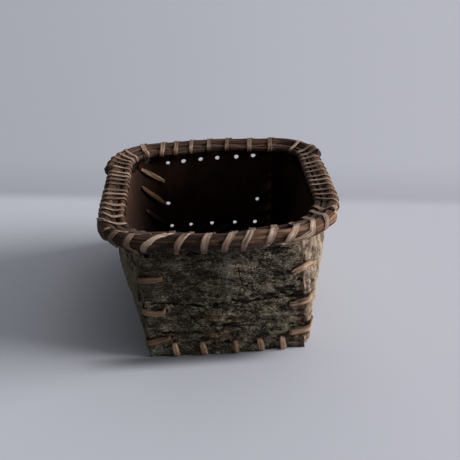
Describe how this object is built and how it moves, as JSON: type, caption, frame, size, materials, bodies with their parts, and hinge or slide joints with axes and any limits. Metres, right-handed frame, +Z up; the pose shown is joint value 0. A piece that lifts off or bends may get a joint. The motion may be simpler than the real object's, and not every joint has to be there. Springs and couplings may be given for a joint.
{
  "type": "bark box",
  "caption": "Open-topped box of walnut bark sheets laced with flat bark strips, wider at the mouth, with a lashed vine rim.",
  "frame": {"origin": "on the floor under the middle of the base panel, in the plane of its underside", "axes": "+Z up out of the open mouth; -Y through the short front end; +X towards the long right side, seen from the front"},
  "size_m": [0.1929, 0.1974, 0.1073],
  "materials": {
    "grey_bark": "rough fissured bark",
    "tan_bark": "rough fissured bark",
    "inner_bark": "smooth inner bark",
    "vine": "dry vine, slightly fibrous",
    "bark_strip": "dry bark strip, satin"
  },
  "bodies": {
    "root": {"front_panel": "grey_bark", "back_panel": "grey_bark", "left_panel": "tan_bark", "right_panel": "tan_bark", "base_panel": "inner_bark", "outer_rod_front": "vine", "outer_rod_right": "vine", "outer_rod_back": "vine", "outer_rod_left": "vine", "inner_hoop": "vine", "rim_lashing_front": "bark_strip", "rim_lashing_right": "bark_strip", "rim_lashing_back": "bark_strip", "rim_lashing_left": "bark_strip", "corner_lacing_front_left": "bark_strip", "corner_lacing_front_right": "bark_strip", "corner_lacing_back_left": "bark_strip", "corner_lacing_back_right": "bark_strip", "base_lacing_front": "bark_strip", "base_lacing_right": "bark_strip", "base_lacing_back": "bark_strip", "base_lacing_left": "bark_strip"}
  },
  "joints": []
}
